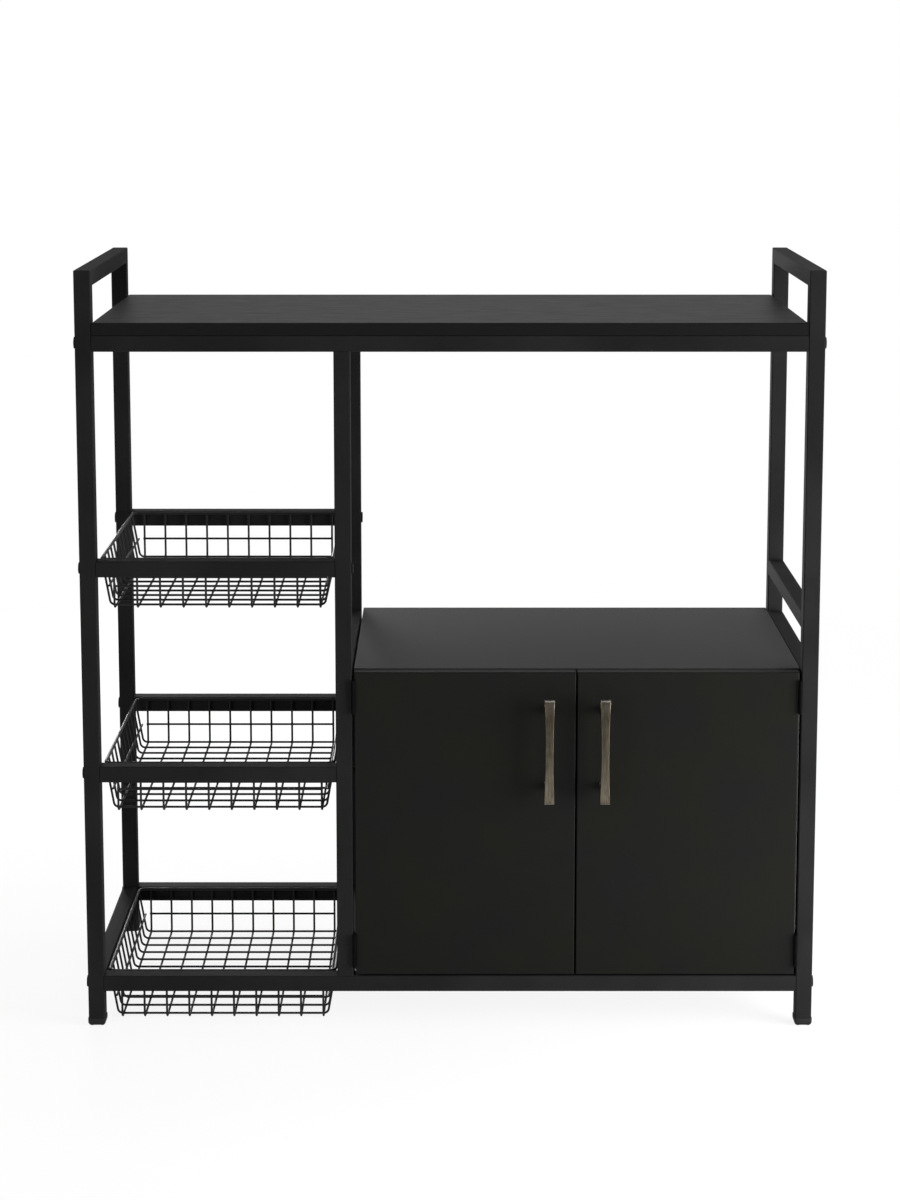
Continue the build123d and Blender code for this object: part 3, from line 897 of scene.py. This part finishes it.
bpy.ops.object.select_all(action="DESELECT")
bpy.ops.mesh.primitive_cylinder_add(
    vertices=socket_sides, radius=socket_radius, depth=2 * socket_depth, location=(0, 0, head_height)
)
apply_place()
socket_tool = bpy.context.object
bpy.context.view_layer.objects.active = bolt
bpy.ops.object.modifier_add(type="BOOLEAN")
socket_cut = bolt.modifiers[-1]
socket_cut.operation = "DIFFERENCE"
socket_cut.object = socket_tool
bpy.ops.object.modifier_apply(modifier=socket_cut.name)
bpy.data.objects.remove(socket_tool)
bolt.select_set(True)
bpy.ops.object.shade_smooth_by_angle(angle=crease_angle)
print("One bolt has", len(bolt.data.polygons), "faces")

# %% [markdown]
# The bolts sit where the rails meet the posts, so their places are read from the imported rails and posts:
# the middle of the rail's height, the middle of the post's depth, on the side of the post that faces away
# from the rail.

# %% Drive the bolts
bolted_rails = {
    "left": ("top", "upper", "middle", "bottom"),
    "middle": ("upper", "middle"),
    "right": ("top", "bottom"),
}
head_side = {"left": -1, "middle": 1, "right": 1}
driven = []
for side, levels in bolted_rails.items():
    for row in ("front", "rear"):
        post_low, post_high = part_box(f"{side}_{row}_post")
        face_x = post_low.x if head_side[side] < 0 else post_high.x
        for level in levels:
            low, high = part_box(f"{level}_{row}_rail")
            copy = copy_piece(bolt, f"{side}_{row}_{level}_bolt")
            copy.location = (face_x, (post_low.y + post_high.y) / 2, (low.z + high.z) / 2)
            copy.rotation_euler.y = head_side[side] * quarter_turn
            apply_place()
            driven.append(copy)
bpy.data.objects.remove(bolt)
bolts = join_pieces(driven)
bolts.name = "button_head_bolts"
give_finish(bolts, black_steel)
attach(bolts, "frame")
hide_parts("frame_bolts")
print("Drove", len(driven), "bolts")

# %% [markdown]
# ## Feet
# A moulded cap closes each corner post: a square pad a little wider than the tube, with round corners and a
# round sole, and a plug that grips inside the tube. A box gets its corners and its sole from Bevel in edit
# mode, and its plug from an inset and an extrusion upwards. A Bevel modifier then takes off the sharp edges
# that a mould wouldn't leave.

# %% Mould one foot
pad_height = 10.0 * millimetre
plug_height = 14.0 * millimetre
plug_inset = 2.4 * millimetre
corner_round = 3.0 * millimetre
sole_round = 5.5 * millimetre
round_steps = 6
pad_edge = 0.5 * millimetre
edge_steps = 2


def is_corner(place):
    """True at the middle of the pad's four upright edges."""
    return abs(abs(place.x) - abs(place.y)) < near and abs(place.x) > near


feet_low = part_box("feet")[0]
post_low, post_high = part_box("left_front_post")
overhang = post_low.x - feet_low.x
pad_width = post_high.x - post_low.x + 2 * overhang
pad_size = (pad_width, pad_width, pad_height)
bpy.ops.object.select_all(action="DESELECT")
bpy.ops.mesh.primitive_cube_add(size=1, location=(0, 0, pad_height / 2), scale=pad_size)
apply_place()
foot = bpy.context.object
bpy.ops.object.mode_set(mode="EDIT")
select_where(foot, is_corner, "edges")
bpy.ops.mesh.bevel(offset=corner_round, segments=round_steps, affect="EDGES")
select_where(foot, lambda place: place.z < near, "faces")
bpy.ops.mesh.select_mode(type="EDGE")
bpy.ops.mesh.bevel(offset=sole_round, segments=round_steps, affect="EDGES")
select_where(foot, lambda place: place.z > pad_height - near, "faces")
bpy.ops.mesh.inset(thickness=plug_inset)
bpy.ops.mesh.extrude_region_move(TRANSFORM_OT_translate={"value": (0, 0, plug_height)})
bpy.ops.object.mode_set(mode="OBJECT")
bpy.ops.object.modifier_add(type="BEVEL")
round_off = foot.modifiers[-1]
round_off.width = pad_edge
round_off.segments = edge_steps
bpy.ops.object.modifier_apply(modifier=round_off.name)
bpy.ops.object.shade_smooth_by_angle(angle=crease_angle)
print("One foot is", pad_width, "m wide and has", len(foot.data.polygons), "faces")

# %% [markdown]
# One foot goes under each corner post, and the four are joined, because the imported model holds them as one
# group too.

# %% Set the feet under the posts
moulded = []
for side in ("left", "right"):
    for row in ("front", "rear"):
        post_low, post_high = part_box(f"{side}_{row}_post")
        copy = copy_piece(foot, f"{side}_{row}_foot")
        copy.location = ((post_low.x + post_high.x) / 2, (post_low.y + post_high.y) / 2, 0)
        apply_place()
        moulded.append(copy)
bpy.data.objects.remove(foot)
feet = join_pieces(moulded)
feet.name = "moulded_feet"
give_finish(feet, moulded_plastic)
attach(feet, "frame")
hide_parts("feet")
print("Moulded", len(moulded), "feet")

# %% [markdown]
# ## Measure
# The dressed rack should be no larger than the imported one, so the box that it fills is printed.

# %% Print the size
low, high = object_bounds()
print("The dressed rack reaches from", tuple(low), "to", tuple(high))
